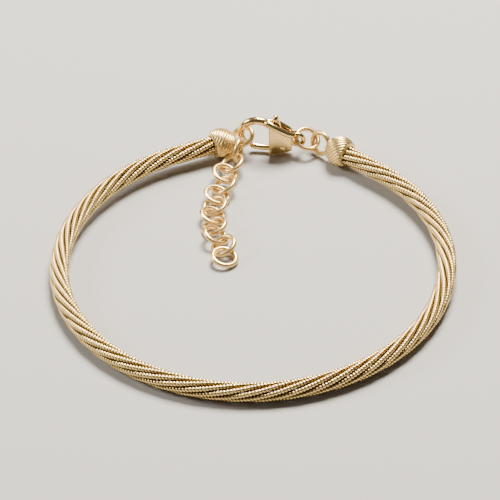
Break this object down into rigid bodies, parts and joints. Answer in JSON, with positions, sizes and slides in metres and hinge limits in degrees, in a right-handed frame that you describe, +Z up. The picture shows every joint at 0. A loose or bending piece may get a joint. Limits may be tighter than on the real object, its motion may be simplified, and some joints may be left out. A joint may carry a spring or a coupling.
{
  "type": "twisted wire bangle",
  "caption": "Oval bangle of twisted ribbed gold wire strands with barrel end caps, a lobster clasp and a short round-link extension chain.",
  "frame": {"origin": "centre of the bangle's own box, on the surface that the bangle lies on", "axes": "+Z up out of the surface, through the wrist opening; +Y from the front of the bangle to the clasp; +X to the right as seen from the front"},
  "size_m": [0.0599, 0.0598, 0.0072],
  "materials": {
    "wound_wire": "gold plated wire wound into fine ribs, satin",
    "cap_gold": "gold plated, satin with fine wound wire",
    "clasp_gold": "gold plated, polished",
    "chain_gold": "gold plated, polished"
  },
  "bodies": {
    "bangle": {"strand_1": "wound_wire", "strand_2": "wound_wire", "strand_3": "wound_wire", "strand_4": "wound_wire", "strand_5": "wound_wire", "strand_6": "wound_wire", "strand_7": "wound_wire", "strand_8": "wound_wire", "end_cap_left": "cap_gold", "end_cap_right": "cap_gold", "jump_ring": "chain_gold", "clasp_body": "clasp_gold", "clasp_pin": "clasp_gold", "chain_link_1": "chain_gold", "chain_link_2": "chain_gold", "chain_link_3": "chain_gold", "chain_link_4": "chain_gold", "chain_link_5": "chain_gold", "chain_link_6": "chain_gold", "chain_link_7": "chain_gold", "chain_link_8": "chain_gold", "chain_link_9": "chain_gold", "chain_link_10": "chain_gold", "chain_link_11": "chain_gold"},
    "lever": {"clasp_lever": "clasp_gold"}
  },
  "joints": [
    {"name": "lever_hinge", "type": "hinge", "parent": "bangle", "child": "lever", "pos_m": [0.0051, 0.02744, 0.00165], "axis": [0.1564, 0.9877, 0], "range_deg": [0, 17], "stiffness_Nm_per_rad": 0.002, "springref_deg": -8.59}
  ]
}
